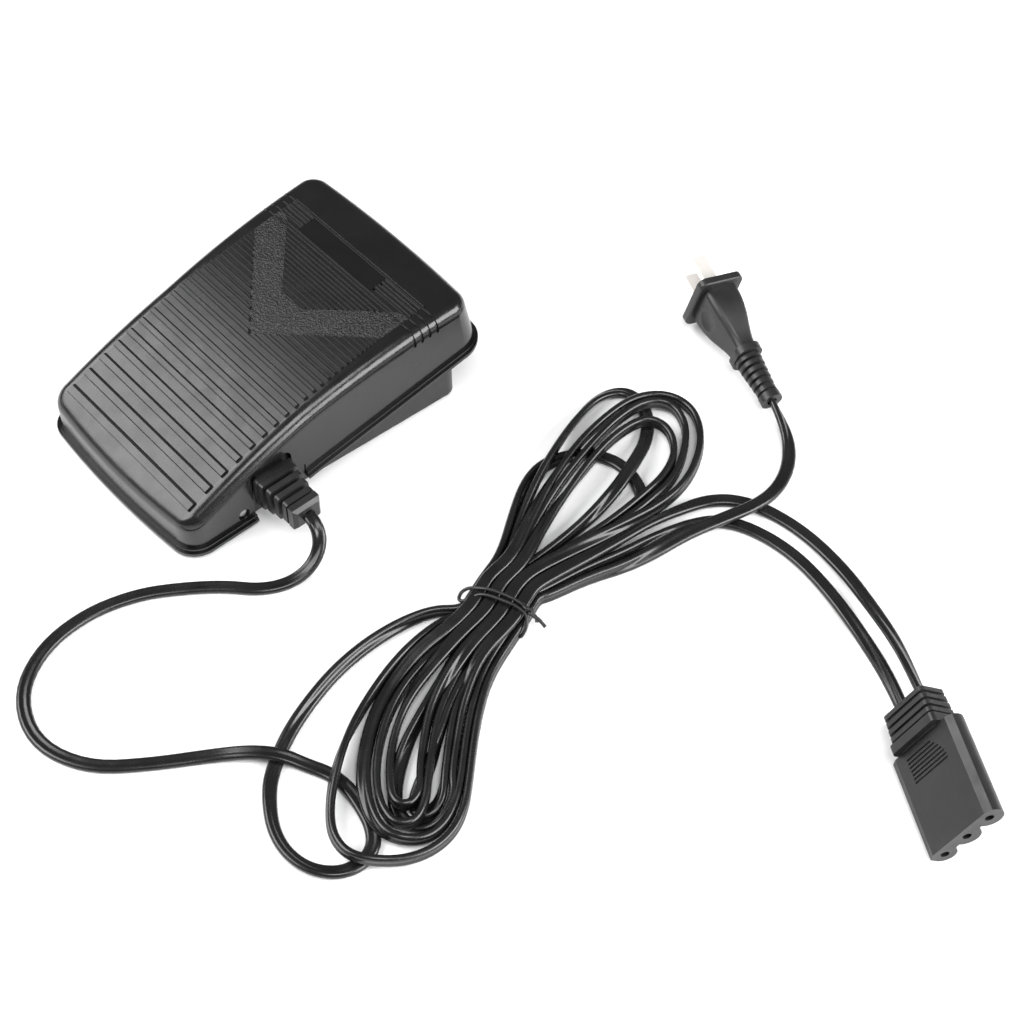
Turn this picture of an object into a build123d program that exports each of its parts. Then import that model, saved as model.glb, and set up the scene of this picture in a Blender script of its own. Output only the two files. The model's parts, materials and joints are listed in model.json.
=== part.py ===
"""Foot control for a sewing machine: a treadle cover that rocks on a wedge base,
the speed electronics inside it, and its two flat cords with connector and plug.

Millimetres. +Z is up and +Y runs from the low heel end to the high toe end.
The strain relief leaves the pedal on the +X side. The origin is the centre of
the pedal's footprint, on the surface that it stands on.
"""
from build123d import *
from math import atan, cos, pi, radians, sin, tan
import os

os.makedirs("parts", exist_ok=True)

# ---------------------------------------------------------------- driving sizes
# Cover
cover_length = 165.0          # over the lip
cover_width = 106.4           # over the lip, in front of the flare
flare = 4.0                   # how much further out each side stands at the rear
flare_start_y = -12.0
flare_blend = 250.0           # radius where the sides start to flare
lip_reach = 2.2               # how far the lip stands out from the wall
lip_height = 3.4
lip_step = 0.9                # the lip's upper bead stands back from its lower one
lip_step_height = 1.6
cover_wall = 2.2
front_bow = 3.0               # how far the front edge bows out in plan
rear_bow = 2.2
plan_corner = 12.0            # corner radius of the lip in plan
top_edge_radius = 6.0
front_top = 17.4              # roof height at the front edge
middle_top = 47.0             # roof height half way
rear_top = 56.4               # roof height at the rear edge
rim_front = 2.0               # underside of the lip at the front
rim_slope = 0.205             # rise of the lip behind the kink
kink_y = -46.0

# Rocking
pivot_y = -50.0
pivot_z = 9.0
travel_deg = 10.0

# Treads
tread_half = 44.0
first_tread_y = -72.0
first_tread_pitch = 9.3
tread_ratio = 0.925
tread_pitch_min = 1.85
tread_rear_y = 58.0
tread_height = 1.2            # of the widest treads
tread_height_share = 0.32     # of the pitch, for the finer ones
tread_share = 0.58            # share of each pitch that is tread
tread_bevel = 0.4
groove_depth = 0.8           # of the grooves that wrap over the roof
wrap_reach = 7.0              # how far the wrapping grooves go down the walls
wrap_grooves_y = (43.0, 47.0, 51.0, 55.0)
wrap_groove_width = 1.3

# The flush band between the treads: a V with its apex towards the heel
band_apex_y = -5.0
band_outer = (45.0, 33.0)
band_inner_apex = (7.0, 19.0)
band_inner = (37.0, 45.0)
band_rear_y = 48.0

# Base
base_gap = 0.5                # each side, between the cover's wall and the base
base_wall = 2.2
base_floor = 2.2
base_front_y = -74.5
base_rear_y = 66.5
foot_height = 2.5
foot_radius = 6.0
foot_sunk = 1.0

# Fits
running_gap = 0.05
seat_gap = 0.02
stop_gap = 0.3

# Pivot rod
rod_radius = 2.0
rod_recess_radius = 2.8
rod_recess_depth = 1.0

# Electronics
board_length = 52.0
board_width = 60.0
board_thickness = 1.6
board_post_height = 3.3
board_front_y = -8.0

# Springs
spring_x = 38.0
spring_y = 15.0
spring_turns = 6
spring_wire = 0.7             # radius of the wire
spring_radius = 5.0           # to the wire's centre
spring_top_z = 36.0

# Strain relief and cord
relief_y = -34.0
relief_z = 18.8
relief_reach = 24.4             # from the cover's side wall to the end
relief_core = (11.0, 8.6)     # along Y and Z
relief_root = (20.0, 16.0)
relief_root_thickness = 2.4
relief_block = (14.0, 11.5)
relief_block_length = 4.6
rib_count = 4
rib_reach = 2.8                # from the cover's side wall to the first rib
rib_pitch = 4.5
rib_thickness = 2.8
rib_first = (19.0, 15.0)
rib_shrink = (1.5, 1.0)       # each rib is smaller than the one before
cord_radius = 2.3             # round tube of the flat cord's section
cord_gap = 0.02

# Connector
pin_pitch = 12.7
socket_radius = 1.8
socket_depth = 14.0
contact_radius = 1.45
contact_wall = 0.6            # how far a contact stands behind the socket's wall
connector_length = 43.0
connector_width = 35.2

# Plug
plug_width = 22.0
plug_height = 29.6
blade_width = 6.35
blade_thickness = 1.5
blade_length = 17.2
blade_spacing = 12.7

# ---------------------------------------------------------------- worked-out sizes
front_y = -cover_length / 2
rear_y = cover_length / 2
wall_rear_y = rear_y - lip_reach
wall_x = cover_width / 2 - lip_reach          # outside of the cover's side wall
inner_x = wall_x - cover_wall
base_x = inner_x - base_gap
base_bottom = foot_height - foot_sunk
floor_top = base_bottom + base_floor
base_inner_x = base_x - base_wall
relief_end_x = wall_x + relief_reach
rib_start_x = wall_x + rib_reach
board_z = floor_top + board_post_height
board_top = board_z + board_thickness
board_rear_y = board_front_y + board_length


def rim_z(y):
    """Height of the lip's underside at y."""
    return rim_front + max(0.0, y - kink_y) * rim_slope


def pressed(y, z):
    """Where a point of the cover stands when the treadle is fully pressed."""
    a = radians(travel_deg)
    dy = y - pivot_y
    dz = z - pivot_z
    return pivot_y + dy * cos(a) + dz * sin(a), pivot_z - dy * sin(a) + dz * cos(a)


def plan_outline(inset):
    """The cover's outline in plan, moved inwards by inset."""
    half = cover_width / 2 - inset
    wide = half + flare
    front = front_y + inset
    rear = rear_y - inset
    corner = plan_corner - min(inset, plan_corner - 4.0)
    with BuildSketch() as outline:
        with BuildLine():
            Polyline((half, front + front_bow), (half, flare_start_y), (wide, rear - rear_bow))
            ThreePointArc((wide, rear - rear_bow), (0, rear), (-wide, rear - rear_bow))
            Polyline((-wide, rear - rear_bow), (-half, flare_start_y), (-half, front + front_bow))
            ThreePointArc((-half, front + front_bow), (0, front), (half, front + front_bow))
        make_face()
        kinks = outline.vertices().group_by(Axis.Y)[1]
        corners = [vertex for vertex in outline.vertices() if vertex not in kinks]
        fillet(corners, corner)
        kinks = outline.vertices().group_by(lambda v: round(abs(v.Y - flare_start_y), 2))[0]
        fillet(kinks, flare_blend)
    return outline.sketch


def roof_solid(inset, drop, edge_radius):
    """The volume under the cover's crowned roof, inset in plan and dropped."""
    lean = atan(rim_slope)
    with BuildPart() as volume:
        add(plan_outline(lip_reach + inset))
        extrude(amount=rear_top + 5)
        # the rear wall stands square to the lip's slope
        with BuildSketch(Plane.XY.offset(rim_z(rear_y) + lip_height)):
            with Locations((0, rear_y)):
                Rectangle(2 * cover_width, cover_width)
            add(plan_outline(lip_reach + inset), mode=Mode.SUBTRACT)
        extrude(amount=rear_top, dir=(0, -sin(lean), cos(lean)), mode=Mode.SUBTRACT)
        with BuildSketch(Plane.YZ) as side:
            with BuildLine():
                ThreePointArc(
                    (front_y, front_top - drop), (0, middle_top - drop), (rear_y, rear_top - drop)
                )
                Polyline(
                    (rear_y, rear_top - drop), (rear_y, -5), (front_y, -5), (front_y, front_top - drop)
                )
            make_face()
        extrude(amount=cover_width, both=True, mode=Mode.INTERSECT)
        roof = volume.faces().sort_by(Axis.Z)[-1]
        fillet(roof.edges(), edge_radius)
    return volume.part


def rim_band(low, high):
    """A band that follows the lip's slope, from low to high above its underside."""
    with BuildPart() as band:
        with BuildSketch(Plane.YZ):
            with BuildLine():
                Polyline(
                    (front_y - 5, rim_z(front_y) + low),
                    (kink_y, rim_z(kink_y) + low),
                    (rear_y + 5, rim_z(rear_y + 5) + low),
                    (rear_y + 5, rim_z(rear_y + 5) + high),
                    (kink_y, rim_z(kink_y) + high),
                    (front_y - 5, rim_z(front_y) + high),
                    close=True,
                )
            make_face()
        extrude(amount=cover_width, both=True)
    return band.part


# The roof's arc, as a circle in the YZ plane, for what stands on the roof.
roof_arc = ThreePointArc((front_y, front_top), (0, middle_top), (rear_y, rear_top))


def roof_z(y):
    """Height of the roof at y."""
    centre = roof_arc.arc_center
    return centre.Y + (roof_arc.radius**2 - (y - centre.X) ** 2) ** 0.5


def roof_slope(y):
    """Slope of the roof at y, in degrees."""
    centre = roof_arc.arc_center
    return Vector(roof_z(y) - centre.Y, centre.X - y).get_angle(Vector(1, 0))


def roof_plane(y):
    """Plane that touches the roof at y, with its normal outwards."""
    slope = radians(roof_slope(y))
    return Plane(origin=(0, y, roof_z(y)), x_dir=(1, 0, 0), z_dir=(0, -sin(slope), cos(slope)))


def tread_lines():
    """Front edge and pitch of each tread, closer together towards the toe."""
    lines = []
    y = first_tread_y
    pitch = first_tread_pitch
    while y + pitch < tread_rear_y:
        lines.append((y, pitch))
        y += pitch
        pitch = max(pitch * tread_ratio, tread_pitch_min)
    return lines


def tread_section(y, pitch):
    """Corners of a tread's section: a bevelled front edge and a long slope behind."""
    width = pitch * tread_share
    height = min(tread_height, pitch * tread_height_share)
    bevel = tread_bevel * height / tread_height
    shape = [
        (0, -1), (bevel / 2, height - bevel), (1.5 * bevel, height),
        (width * 0.7, height), (width * 0.88, height * 0.7), (width, -1),
    ]
    slope = radians(roof_slope(y))
    corners = []
    for along, up in shape:
        here_y = y + along * cos(slope)
        corners.append((here_y - up * sin(slope), roof_z(here_y) + up * cos(slope)))
    return corners


def band_outline():
    """The flush V between the treads, in plan."""
    outer_x, outer_y = band_outer
    apex_x, apex_y = band_inner_apex
    inner_x_end, inner_y = band_inner
    right = [(outer_x, outer_y), (outer_x, band_rear_y), (inner_x_end, band_rear_y), (inner_x_end, inner_y)]
    right.append((apex_x, apex_y))
    left = [(-x, y) for x, y in reversed(right)]
    return [(0, band_apex_y)] + right + left


def lying_plane(origin, heading, pitch, roll):
    """Plane of a piece that lies on the floor: its Z axis is the piece's own axis."""
    axis = Vector(
        cos(radians(pitch)) * cos(radians(heading)),
        cos(radians(pitch)) * sin(radians(heading)),
        sin(radians(pitch)),
    )
    side = Vector(-sin(radians(heading)), cos(radians(heading)), 0)
    side = side.rotate(Axis((0, 0, 0), axis), roll)
    return Plane(origin=origin, x_dir=side, z_dir=axis)


# ---------------------------------------------------------------- cover
label_size = (50.0, 9.5, 0.75)
label_x = -4.5
label_y = 50.0
label_depth = 0.7
relief_slot_y = (-44.5, -23.5)      # arch around the strain relief
relief_slot_top = 30.5
lip_gap_rear_y = -17.0              # the lip is left off from the arch to here
slit_top = 16.0
slit_width = 0.7
stop_boss_x = 18.0
stop_boss_y = 53.4
stop_boss_z = 40.0
stop_boss_radius = 4.0
spring_boss_radius = 6.6
pusher_y = 20.0
pusher_radius = 3.0
pusher_tip_z = 38.0
pusher_width = 10.0
ledge_z = 30.2
ledge_thickness = 1.8
ledge_reach = 8.5
ledge_width = 20.0

inner_rear_y = wall_rear_y - cover_wall

with BuildPart() as cover:
    add(roof_solid(0, 0, top_edge_radius))
    add(rim_band(0, 2 * rear_top), mode=Mode.INTERSECT)
    with BuildPart(mode=Mode.PRIVATE) as lip:
        add(plan_outline(0))
        extrude(amount=rear_top)
        add(rim_band(0, lip_step_height), mode=Mode.INTERSECT)
    add(lip.part)
    with BuildPart(mode=Mode.PRIVATE) as bead:
        add(plan_outline(lip_step))
        extrude(amount=rear_top)
        add(rim_band(0, lip_height), mode=Mode.INTERSECT)
    add(bead.part)
    with BuildPart(mode=Mode.PRIVATE) as hollow:
        add(roof_solid(cover_wall, cover_wall + 0.2, top_edge_radius - cover_wall))
    add(hollow.part, mode=Mode.SUBTRACT)
    # what hangs from the roof: spring seats, stops, the pusher and its web
    with BuildPart(mode=Mode.PRIVATE) as hangers:
        with BuildSketch(Plane.XY.offset(spring_top_z + stop_gap)):
            with Locations((spring_x, spring_y), (-spring_x, spring_y)):
                Circle(spring_boss_radius)
        extrude(amount=30)
        with BuildSketch(Plane.XY.offset(stop_boss_z)):
            with Locations((stop_boss_x, stop_boss_y), (-stop_boss_x, stop_boss_y)):
                Circle(stop_boss_radius)
        extrude(amount=30)
        with BuildSketch(Plane.YZ.offset(-pusher_width / 2)):
            with Locations((pusher_y, pusher_tip_z + pusher_radius)):
                Circle(pusher_radius)
            with Locations((pusher_y, pusher_tip_z + pusher_radius + 10)):
                Rectangle(2 * pusher_radius, 20)
        extrude(amount=pusher_width)
        with BuildSketch(Plane.XY.offset(ledge_z - ledge_thickness)):
            with Locations((0, inner_rear_y - ledge_reach / 2 + 1)):
                Rectangle(ledge_width, ledge_reach + 2)
        extrude(amount=ledge_thickness)
        half_wall = cover_wall / 2
        add(roof_solid(half_wall, half_wall, top_edge_radius - half_wall), mode=Mode.INTERSECT)
    add(hangers.part)
    # treads, left off the flush band
    with BuildPart(mode=Mode.PRIVATE) as treads:
        with BuildSketch(Plane.YZ.offset(-tread_half)):
            for y, pitch in tread_lines():
                Polygon(*tread_section(y, pitch), align=None)
        extrude(amount=2 * tread_half)
        with BuildSketch():
            Polygon(*band_outline(), align=None)
        extrude(amount=2 * rear_top, mode=Mode.SUBTRACT)
    add(treads.part)
    # grooves that wrap over the roof and both side edges
    with BuildPart(mode=Mode.PRIVATE) as wraps:
        for y in wrap_grooves_y:
            with Locations((0, y, roof_z(y) - wrap_reach)):
                Box(
                    2 * cover_width, wrap_groove_width, 2 * wrap_reach,
                    align=(Align.CENTER, Align.CENTER, Align.MIN),
                )
        add(roof_solid(groove_depth, groove_depth, top_edge_radius - groove_depth), mode=Mode.SUBTRACT)
    add(wraps.part, mode=Mode.SUBTRACT)
    # pocket for the label plate
    with BuildSketch(roof_plane(label_y).offset(-label_depth)):
        with Locations((label_x, 0)):
            RectangleRounded(label_size[0] + 2 * seat_gap, label_size[1] + 2 * seat_gap, 0.8)
    extrude(amount=5, mode=Mode.SUBTRACT)
    # arch around the strain relief, and the slit beside it
    with BuildSketch(Plane.YZ.offset(inner_x - 3)):
        slot_width = relief_slot_y[1] - relief_slot_y[0]
        slot_middle = (relief_slot_y[0] + relief_slot_y[1]) / 2
        with Locations((slot_middle, relief_slot_top / 2)):
            RectangleRounded(slot_width, relief_slot_top, 4.0)
        with Locations((slot_middle, relief_slot_top / 4)):
            Rectangle(slot_width, relief_slot_top / 2)
        with Locations((lip_gap_rear_y - slit_width / 2, slit_top / 2)):
            Rectangle(slit_width, slit_top)
    extrude(amount=20, mode=Mode.SUBTRACT)
    with BuildSketch(Plane.YZ.offset(wall_x)):
        with Locations(((relief_slot_y[0] + lip_gap_rear_y) / 2, slit_top / 2)):
            Rectangle(lip_gap_rear_y - relief_slot_y[0], slit_top)
    extrude(amount=20, mode=Mode.SUBTRACT)
    # bores for the pivot rod, each in a round recess
    with Locations(Plane.YZ.offset(-cover_width / 2)):
        with Locations((pivot_y, pivot_z)):
            Cylinder(
                rod_radius + running_gap, cover_width,
                align=(Align.CENTER, Align.CENTER, Align.MIN), mode=Mode.SUBTRACT,
            )
    for side in (-1, 1):
        with Locations(Plane.YZ.offset(side * wall_x)):
            with Locations((pivot_y, pivot_z)):
                Cylinder(rod_recess_radius, 2 * rod_recess_depth, mode=Mode.SUBTRACT)
cover.part.label = "treadle_cover"
export_step(cover.part, "parts/treadle_cover.step")

with BuildPart() as label_plate:
    with BuildSketch(roof_plane(label_y).offset(-label_depth)):
        with Locations((label_x, 0)):
            RectangleRounded(label_size[0], label_size[1], 0.8)
    extrude(amount=label_size[2])
label_plate.part.label = "label_plate"
export_step(label_plate.part, "parts/label_plate.step")

# ---------------------------------------------------------------- base
base_middle_y = (base_front_y + base_rear_y) / 2
base_length = base_rear_y - base_front_y
base_corner = 5.5
base_edge = 1.6
base_front_top = 7.0
pivot_wall_top = 15.0
base_rear_top = 30.5
panel_y = (-45.0, -14.0)
panel_shoulder = (-38.0, 25.4)
panel_top = 28.0
relief_hole_gap = 0.05
rod_boss_radius = 5.0
rod_boss_length = 6.0
rod_half = wall_x - rod_recess_depth - 0.1
board_posts = [(x, y) for x in (-25.0, 25.0) for y in (board_front_y + 5, board_rear_y - 5)]
board_post_radius = 3.2
board_screw_radius = 1.25
feet = [(x, y) for x in (-36.0, 36.0) for y in (base_front_y + 14, base_rear_y - 12)]
stop_pad_thickness = 2.0
pressed_stop_y, pressed_stop_z = pressed(stop_boss_y, stop_boss_z)
stop_pad_top = pressed_stop_z - stop_boss_radius * tan(radians(travel_deg)) - stop_gap
stop_post_y = pressed_stop_y - 0.5
stop_pad_radius = 3.6
spring_seat_z = floor_top + 2.0
clamp_x = 30.0
clamp_pitch = 13.0
clamp_width = 7.0
clamp_post = 4.6
saddle_z = relief_z - cord_radius
bracket_screw_z = 20.0
screw_radius = 1.25



def base_outline(inset):
    """The base's outline in plan, flared as the cover is, moved inwards by inset."""
    length = base_length - 2 * inset
    with BuildSketch() as outline:
        add(plan_outline(cover_width / 2 - base_x + inset))
        with Locations((0, base_middle_y)):
            Rectangle(2 * cover_width, length, mode=Mode.INTERSECT)
        ends = outline.vertices().group_by(Axis.Y)
        fillet(ends[0] + ends[-1], base_corner - inset)
    return outline.sketch


with BuildPart() as base_tray:
    add(base_outline(0))
    extrude(amount=40)
    with BuildSketch(Plane.YZ):
        with BuildLine():
            Polyline(
                (base_front_y, base_bottom), (base_rear_y, base_bottom),
                (base_rear_y, base_rear_top), (pivot_y + 8, pivot_wall_top),
                (pivot_y - 7, pivot_wall_top - 1), (base_front_y, base_front_top),
                close=True,
            )
        make_face()
    extrude(amount=cover_width, both=True, mode=Mode.INTERSECT)
    fillet(base_tray.faces().sort_by(Axis.Z)[0].edges(), base_edge)
    with BuildPart(Plane.XY.offset(floor_top), mode=Mode.PRIVATE) as tray_hollow:
        add(base_outline(base_wall))
        extrude(amount=40)
    add(tray_hollow.part, mode=Mode.SUBTRACT)
    # raised panel that holds the strain relief
    with BuildSketch(Plane.YZ.offset(base_inner_x)):
        Polygon(
            (panel_y[0], floor_top), (panel_y[1], floor_top), (panel_y[1], panel_top),
            (panel_shoulder[0], panel_top), (panel_y[0], panel_shoulder[1]), align=None,
        )
    extrude(amount=base_wall)
    with BuildSketch(Plane.YZ.offset(base_inner_x - 1)):
        with Locations((relief_y, relief_z)):
            Rectangle(relief_core[0] + 2 * relief_hole_gap, relief_core[1] + 2 * relief_hole_gap)
    extrude(amount=base_wall + 2, mode=Mode.SUBTRACT)
    # bosses for the rod
    for side in (-1, 1):
        with BuildSketch(Plane.YZ.offset(side * (base_x - rod_boss_length / 2) - rod_boss_length / 2)):
            with Locations((pivot_y, pivot_z)):
                Circle(rod_boss_radius)
            with Locations((pivot_y, (pivot_z + floor_top) / 2)):
                Rectangle(2 * rod_boss_radius, pivot_z - floor_top)
        extrude(amount=rod_boss_length)
    with Locations(Plane.YZ.offset(-cover_width / 2)):
        with Locations((pivot_y, pivot_z)):
            Cylinder(
                rod_radius + seat_gap, cover_width,
                align=(Align.CENTER, Align.CENTER, Align.MIN), mode=Mode.SUBTRACT,
            )
    # posts: board, stops, spring seats, cord clamp
    with BuildSketch(Plane.XY.offset(floor_top - 0.5)):
        with Locations(*board_posts):
            Circle(board_post_radius)
    extrude(amount=board_post_height + 0.5)
    with BuildSketch(Plane.XY.offset(floor_top - 0.5)):
        with Locations((stop_boss_x, stop_post_y), (-stop_boss_x, stop_post_y)):
            Circle(stop_pad_radius)
    extrude(amount=stop_pad_top - stop_pad_thickness - floor_top + 0.5)
    with BuildSketch(Plane.XY.offset(floor_top - 0.5)):
        with Locations((spring_x, spring_y), (-spring_x, spring_y)):
            Circle(spring_boss_radius)
    extrude(amount=spring_seat_z - floor_top + 0.5)
    with BuildSketch(Plane.XY.offset(floor_top - 0.5)):
        with Locations((clamp_x, relief_y)):
            Rectangle(clamp_width, clamp_pitch + clamp_post)
    extrude(amount=saddle_z - floor_top + 0.5)
    # screw holes
    with BuildSketch(Plane.XY.offset(board_z - 4)):
        with Locations(*board_posts):
            Circle(board_screw_radius)
    extrude(amount=5, mode=Mode.SUBTRACT)
    with BuildSketch(Plane.XY.offset(saddle_z - 6)):
        with Locations((clamp_x, relief_y - clamp_pitch / 2), (clamp_x, relief_y + clamp_pitch / 2)):
            Circle(screw_radius)
    extrude(amount=8, mode=Mode.SUBTRACT)
    with Locations(Plane.XZ.offset(-base_rear_y)):
        with Locations((0, bracket_screw_z)):
            Cylinder(screw_radius, 8, mode=Mode.SUBTRACT)
    # pockets for the feet
    with BuildSketch(Plane.XY.offset(base_bottom)):
        with Locations(*feet):
            Circle(foot_radius + seat_gap)
    extrude(amount=foot_sunk, mode=Mode.SUBTRACT)
base_tray.part.label = "base_tray"
export_step(base_tray.part, "parts/base_tray.step")

with BuildPart() as rubber_feet:
    with BuildSketch(Plane.XY):
        with Locations(*feet):
            Circle(foot_radius)
    extrude(amount=foot_height)
    chamfer(rubber_feet.edges().group_by(Axis.Z)[0], 0.5)
rubber_feet.part.label = "rubber_feet"
export_step(rubber_feet.part, "parts/rubber_feet.step")

with BuildPart() as pivot_rod:
    with BuildSketch(Plane.YZ.offset(-rod_half)):
        with Locations((pivot_y, pivot_z)):
            Circle(rod_radius)
    extrude(amount=2 * rod_half)
    chamfer(pivot_rod.edges().filter_by(GeomType.CIRCLE), 0.3)
pivot_rod.part.label = "pivot_rod"
export_step(pivot_rod.part, "parts/pivot_rod.step")

with BuildPart() as stop_pads:
    with BuildSketch(Plane.XY.offset(stop_pad_top - stop_pad_thickness)):
        with Locations((stop_boss_x, stop_post_y), (-stop_boss_x, stop_post_y)):
            Circle(stop_pad_radius)
    extrude(amount=stop_pad_thickness)
    chamfer(stop_pads.edges().group_by(Axis.Z)[-1], 0.4)
stop_pads.part.label = "stop_pads"
export_step(stop_pads.part, "parts/stop_pads.step")

# ---------------------------------------------------------------- retaining bracket
bracket_thickness = 1.2
bracket_width = 14.0
bracket_bottom = 12.0
bracket_hook = 8.0
hook_z = ledge_z + stop_gap

with BuildPart() as stop_bracket:
    with BuildSketch(Plane.YZ.offset(-bracket_width / 2)):
        with BuildLine():
            Polyline(
                (base_rear_y, bracket_bottom),
                (base_rear_y + bracket_thickness, bracket_bottom),
                (base_rear_y + bracket_thickness, hook_z),
                (base_rear_y + bracket_hook, hook_z),
                (base_rear_y + bracket_hook, hook_z + bracket_thickness),
                (base_rear_y, hook_z + bracket_thickness),
                close=True,
            )
        make_face()
    extrude(amount=bracket_width)
    with Locations(Plane.XZ.offset(-base_rear_y)):
        with Locations((0, bracket_screw_z)):
            Cylinder(screw_radius + 0.15, 8, mode=Mode.SUBTRACT)
stop_bracket.part.label = "stop_bracket"
export_step(stop_bracket.part, "parts/stop_bracket.step")


def screws(places, head_z, shank, shank_radius, head_radius, head_height):
    """Pan-head screws pointing down, their heads seated at head_z."""
    with BuildPart() as group:
        with BuildSketch(Plane.XY.offset(head_z - shank)):
            with Locations(*places):
                Circle(shank_radius)
        extrude(amount=shank + 0.2)
        with BuildSketch(Plane.XY.offset(head_z)):
            with Locations(*places):
                Circle(head_radius)
        extrude(amount=head_height)
        fillet(group.edges().group_by(Axis.Z)[-1], head_height * 0.35)
        with BuildSketch(Plane.XY.offset(head_z + head_height)):
            with Locations(*places):
                Rectangle(1.4 * head_radius, 0.6)
                Rectangle(0.6, 1.4 * head_radius)
        extrude(amount=-head_height * 0.5, mode=Mode.SUBTRACT)
    return group.part


with BuildPart() as bracket_screw:
    with BuildSketch(Plane.XZ.offset(-(base_rear_y + bracket_thickness))):
        with Locations((0, bracket_screw_z)):
            Circle(2.4)
    extrude(amount=-1.4)
    with BuildSketch(Plane.XZ.offset(-(base_rear_y + bracket_thickness))):
        with Locations((0, bracket_screw_z)):
            Circle(screw_radius - seat_gap)
    extrude(amount=3.6)
bracket_screw.part.label = "bracket_screw"
export_step(bracket_screw.part, "parts/bracket_screw.step")

# ---------------------------------------------------------------- return springs
spring_length = spring_top_z - spring_seat_z - 2 * spring_wire


def return_spring(x):
    """Compression spring between the base's seat and the cover's boss."""
    foot = (x, spring_y, spring_seat_z + spring_wire)
    pitch = spring_length / spring_turns
    with BuildPart() as spring:
        with BuildLine():
            coil = Helix(pitch=pitch, height=spring_length, radius=spring_radius, center=foot)
        with BuildSketch(Plane(origin=coil @ 0, z_dir=coil % 0)):
            Circle(spring_wire)
        sweep(path=coil, is_frenet=True)
    return spring.part


for side, name in ((1, "return_spring_right"), (-1, "return_spring_left")):
    spring = return_spring(side * spring_x)
    spring.label = name
    export_step(spring, f"parts/{name}.step")

# ---------------------------------------------------------------- speed control board
screw_head = 2.2

with BuildPart() as circuit_board:
    with BuildSketch(Plane.XY.offset(board_z)):
        with Locations((0, board_front_y + board_length / 2)):
            RectangleRounded(board_width, board_length, 2.0)
        with Locations(*board_posts):
            Circle(board_screw_radius + 0.25, mode=Mode.SUBTRACT)
    extrude(amount=board_thickness)
circuit_board.part.label = "circuit_board"
export_step(circuit_board.part, "parts/circuit_board.step")

board_screws = screws(
    board_posts, board_top, board_thickness + 3.5, board_screw_radius - seat_gap, screw_head, 1.6
)
board_screws.label = "board_screws"
export_step(board_screws, "parts/board_screws.step")

plunger_size = 5.0
plunger_gap = 0.1
plunger_top = pusher_tip_z - 0.12
plunger_length = 15.9
plunger_head = 1.2
housing_top = 23.7
housing_floor = 0.4
housing_size = (13.0, 16.0)

with BuildPart() as potentiometer:
    with BuildSketch(Plane.XY.offset(board_top)):
        with Locations((0, pusher_y)):
            RectangleRounded(housing_size[0], housing_size[1], 1.0)
    extrude(amount=housing_top - board_top)
    with BuildSketch(Plane.XY.offset(board_top + housing_floor)):
        with Locations((0, pusher_y)):
            Rectangle(plunger_size + 2 * plunger_gap, plunger_size + 2 * plunger_gap)
    extrude(amount=housing_top, mode=Mode.SUBTRACT)
potentiometer.part.label = "slide_potentiometer"
export_step(potentiometer.part, "parts/slide_potentiometer.step")

with BuildPart() as plunger:
    with BuildSketch(Plane.XY.offset(plunger_top - plunger_length)):
        with Locations((0, pusher_y)):
            Rectangle(plunger_size, plunger_size)
    extrude(amount=plunger_length)
    with BuildSketch(Plane.XY.offset(plunger_top - plunger_head)):
        with Locations((0, pusher_y + 1.0)):
            RectangleRounded(8.0, 11.0, 1.0)
    extrude(amount=plunger_head)
plunger.part.label = "slider_plunger"
export_step(plunger.part, "parts/slider_plunger.step")

heat_sink_x = -10.0
heat_sink_y = 35.0
heat_sink_size = (22.0, 2.0, 19.0)
fin_count = 5
fin_reach = 6.0
fin_thickness = 1.2
triac_size = (10.0, 4.4, 9.0)
tab_thickness = 1.3
tab_height = 15.5
triac_lift = 3.0
triac_screw_z = board_top + triac_lift + 12.5

with BuildPart() as heat_sink:
    with BuildSketch(Plane.XY.offset(board_top)):
        with Locations((heat_sink_x, heat_sink_y)):
            Rectangle(heat_sink_size[0], heat_sink_size[1])
        fin_y = heat_sink_y + heat_sink_size[1] / 2 + fin_reach / 2
        with Locations((heat_sink_x, fin_y)):
            with GridLocations((heat_sink_size[0] - fin_thickness) / (fin_count - 1), 1, fin_count, 1):
                Rectangle(fin_thickness, fin_reach)
    extrude(amount=heat_sink_size[2])
    with Locations(Plane.XZ.offset(-heat_sink_y)):
        with Locations((heat_sink_x + 2.6, triac_screw_z)):
            Cylinder(1.5, 6, mode=Mode.SUBTRACT)
heat_sink.part.label = "heat_sink"
export_step(heat_sink.part, "parts/heat_sink.step")

triac_x = heat_sink_x + 2.6
triac_back_y = heat_sink_y - heat_sink_size[1] / 2
with BuildPart() as triac:
    with BuildSketch(Plane.XY.offset(board_top + triac_lift)):
        with Locations((triac_x, triac_back_y - triac_size[1] / 2)):
            Rectangle(triac_size[0], triac_size[1])
    extrude(amount=triac_size[2])
    with BuildSketch(Plane.XY.offset(board_top + triac_lift)):
        with Locations((triac_x, triac_back_y - tab_thickness / 2)):
            Rectangle(triac_size[0], tab_thickness)
    extrude(amount=tab_height)
    with BuildSketch(Plane.XY.offset(board_top)):
        with Locations((triac_x, triac_back_y - 2.4)):
            with GridLocations(2.54, 1, 3, 1):
                Rectangle(0.9, 0.6)
    extrude(amount=triac_lift + 0.5)
    with Locations(Plane.XZ.offset(-triac_back_y)):
        with Locations((triac_x, triac_screw_z)):
            Cylinder(1.6, 6, mode=Mode.SUBTRACT)
triac.part.label = "triac"
export_step(triac.part, "parts/triac.step")

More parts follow.
